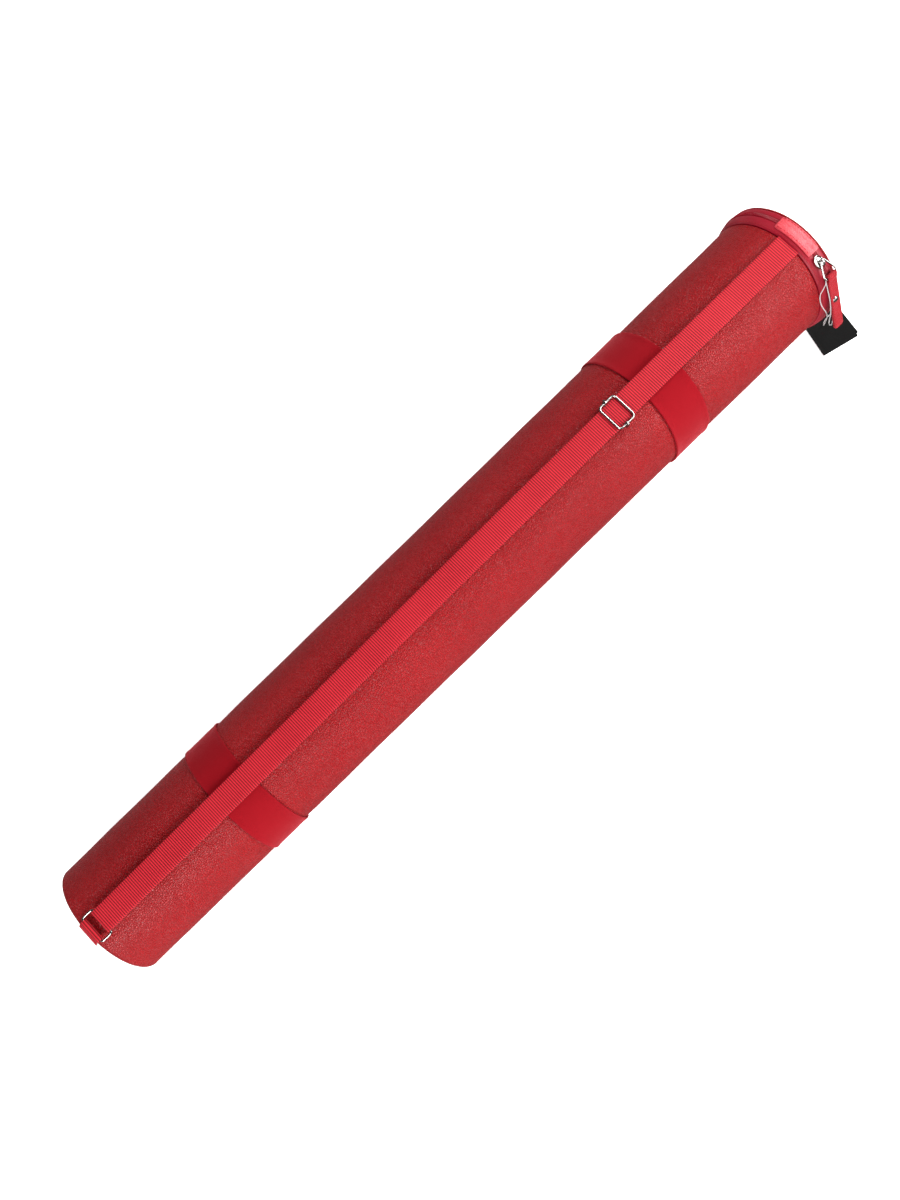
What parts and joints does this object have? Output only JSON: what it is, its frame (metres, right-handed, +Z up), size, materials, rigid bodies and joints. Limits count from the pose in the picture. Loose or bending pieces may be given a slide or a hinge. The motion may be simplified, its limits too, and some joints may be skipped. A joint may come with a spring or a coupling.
{
  "type": "cue case",
  "caption": "Round hard-walled cue case in red leather with a zipped lid, elastic bands and an adjustable webbing strap.",
  "frame": {"origin": "centre of the base's flat outer face, on the tube's axis", "axes": "+X along the tube's axis from the base to the lid, +Z up through the strap and the lid's hinge with the case lying on its side, -Y towards the zip's slider"},
  "size_m": [0.8929, 0.1543, 0.1298],
  "materials": {
    "leather": "pebble-grained red synthetic leather, semi-matt",
    "zip_tape": "smooth crimson coated zip tape, satin",
    "zip_coil": "crimson nylon zip coil",
    "webbing": "bright red ribbed webbing, matt",
    "band": "deep red plush elastic, matt",
    "steel": "polished nickel-plated wire",
    "board": "compressed paperboard, matt",
    "lining": "black nylon lining",
    "foam": "black closed-cell foam, matt",
    "inner_plastic": "black thin-walled tube, satin",
    "card": "black coated card, blank",
    "nylon": "clear nylon thread"
  },
  "bodies": {
    "case": {"core_tube": "board", "tube_cover": "leather", "base_cover": "leather", "base_board": "board", "base_pad": "foam", "tube_lining": "lining", "band_lower": "band", "band_upper": "band", "butt_tube_1": "inner_plastic", "butt_tube_2": "inner_plastic", "shaft_tube_1": "inner_plastic", "shaft_tube_2": "inner_plastic", "shaft_tube_3": "inner_plastic", "shaft_tube_4": "inner_plastic", "spacer_lower": "foam", "spacer_upper": "foam", "zip_tape_tube": "zip_tape", "zip_coil_tube": "zip_coil", "hinge_patch": "leather", "strap_main": "webbing", "strap_return": "webbing", "base_ring": "steel", "ring_tab": "webbing"},
    "lid": {"zip_tape_lid": "zip_tape", "zip_coil_lid": "zip_coil", "lid_cover": "leather", "lid_board": "board", "lid_pad": "foam", "lid_lining": "lining"},
    "zip_slider": {"slider_plate": "steel", "slider_bridge": "steel", "tag_front": "card", "tag_back": "card", "tag_thread": "nylon"},
    "link": {"pull_link": "steel"},
    "pull": {"puller": "leather", "rivet_cap": "steel", "rivet_back": "steel"},
    "buckle_bar": {"buckle_bar": "steel", "strap_end_loop": "webbing"},
    "buckle_frame": {"buckle_frame": "steel"}
  },
  "joints": [
    {"name": "lid_hinge", "type": "hinge", "parent": "case", "child": "lid", "pos_m": [0.8405, 0, 0.06145], "axis": [0, -1, 0], "range_deg": [0, 120], "deforming": ["hinge_patch"]},
    {"name": "zip_travel", "type": "hinge", "parent": "case", "child": "zip_slider", "pos_m": [0.84, 0, 0], "axis": [1, 0, 0], "range_deg": [0, 300]},
    {"name": "link_swing", "type": "hinge", "parent": "zip_slider", "child": "link", "pos_m": [0.8406, -0.02924, 0.05738], "axis": [-1, 0, 0], "range_deg": [0, 150]},
    {"name": "pull_swing", "type": "hinge", "parent": "link", "child": "pull", "pos_m": [0.8417, -0.04281, 0.04856], "axis": [-1, 0, 0], "range_deg": [0, 90]},
    {"name": "buckle_slide", "type": "slide", "parent": "case", "child": "buckle_bar", "axis": [1, 0.0057, 0], "range_m": [-0.39, 0.012], "deforming": ["strap_return"]},
    {"name": "buckle_play", "type": "slide", "parent": "buckle_bar", "child": "buckle_frame", "axis": [1, 0.0057, 0], "range_m": [-0.003, 0.003]}
  ]
}
